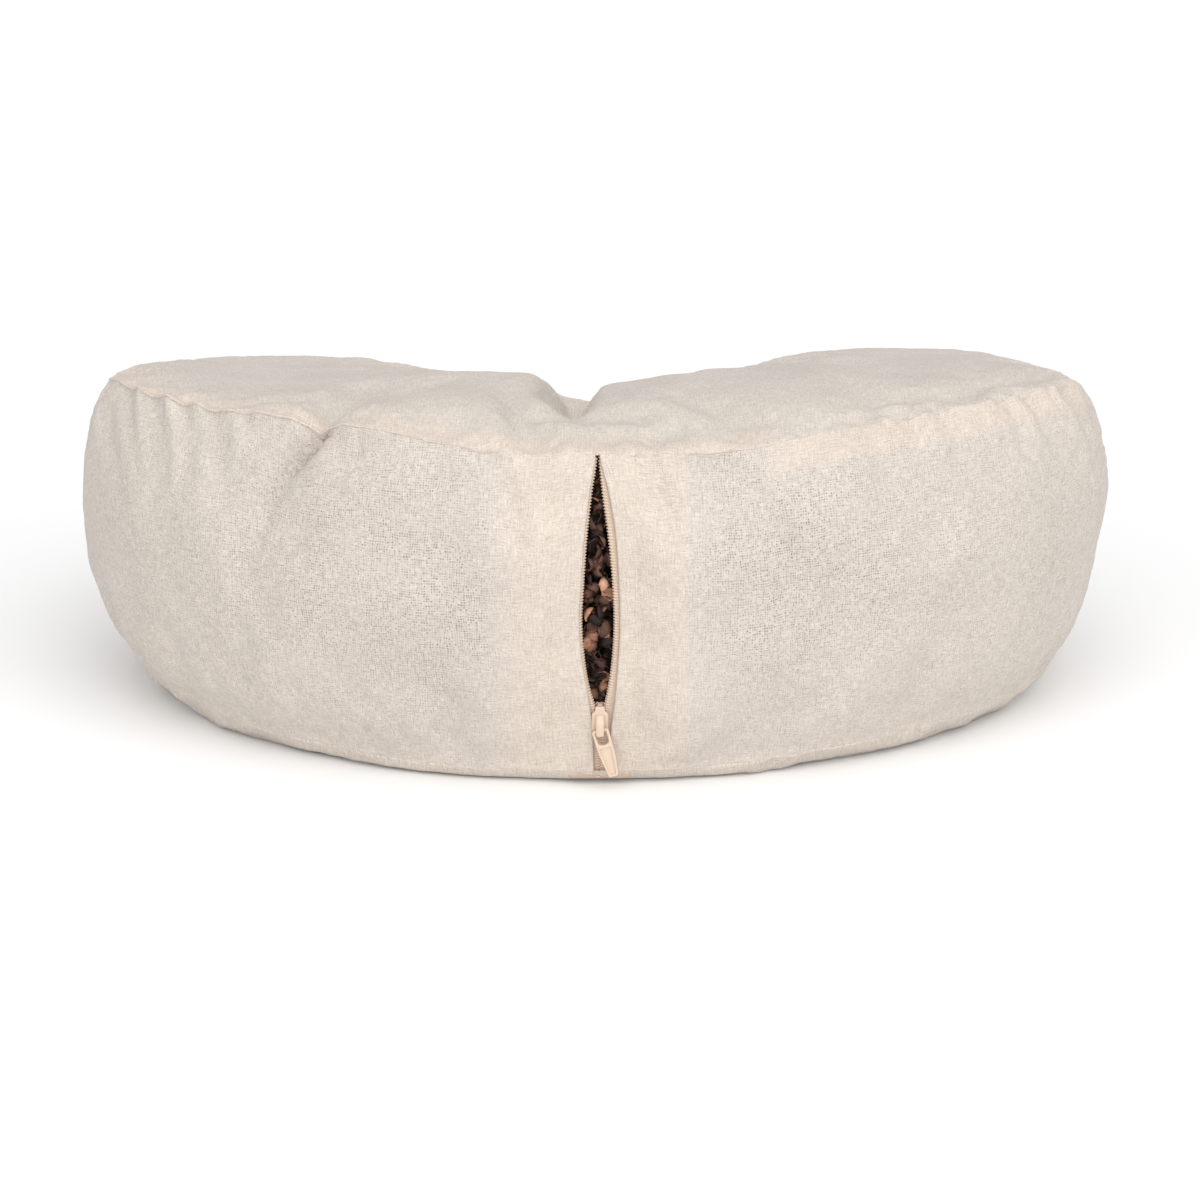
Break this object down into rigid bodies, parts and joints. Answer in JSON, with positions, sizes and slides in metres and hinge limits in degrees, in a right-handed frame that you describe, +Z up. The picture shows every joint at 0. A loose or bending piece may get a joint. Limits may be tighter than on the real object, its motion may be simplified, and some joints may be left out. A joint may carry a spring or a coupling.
{
  "type": "crescent meditation cushion",
  "caption": "Crescent floor cushion of unbleached calico with a crowned top, a tall side band, a hollow back for the heels and an upright zip, open on its buckwheat hull filling.",
  "frame": {"origin": "on the floor, under the middle of the bounding box", "axes": "+X along the crescent's length to the right of someone who faces the zip, +Y from the zip to the hollow back, +Z up"},
  "size_m": [0.452, 0.272, 0.1491],
  "materials": {
    "calico": "unbleached plain weave cotton, matt, with slubs and seed flecks",
    "zip_tape": "close woven tape, matt",
    "zip_nylon": "moulded, satin",
    "hulls": "loose three-sided seed hulls, dark brown, dull"
  },
  "bodies": {
    "root": {"top_panel": "calico", "side_band": "calico", "bottom_panel": "calico", "zip_tape_left": "zip_tape", "zip_tape_right": "zip_tape", "zip_coil_left": "zip_nylon", "zip_coil_right": "zip_nylon", "zip_slider": "zip_nylon", "zip_puller": "zip_nylon", "hull_filling": "hulls"}
  },
  "joints": []
}
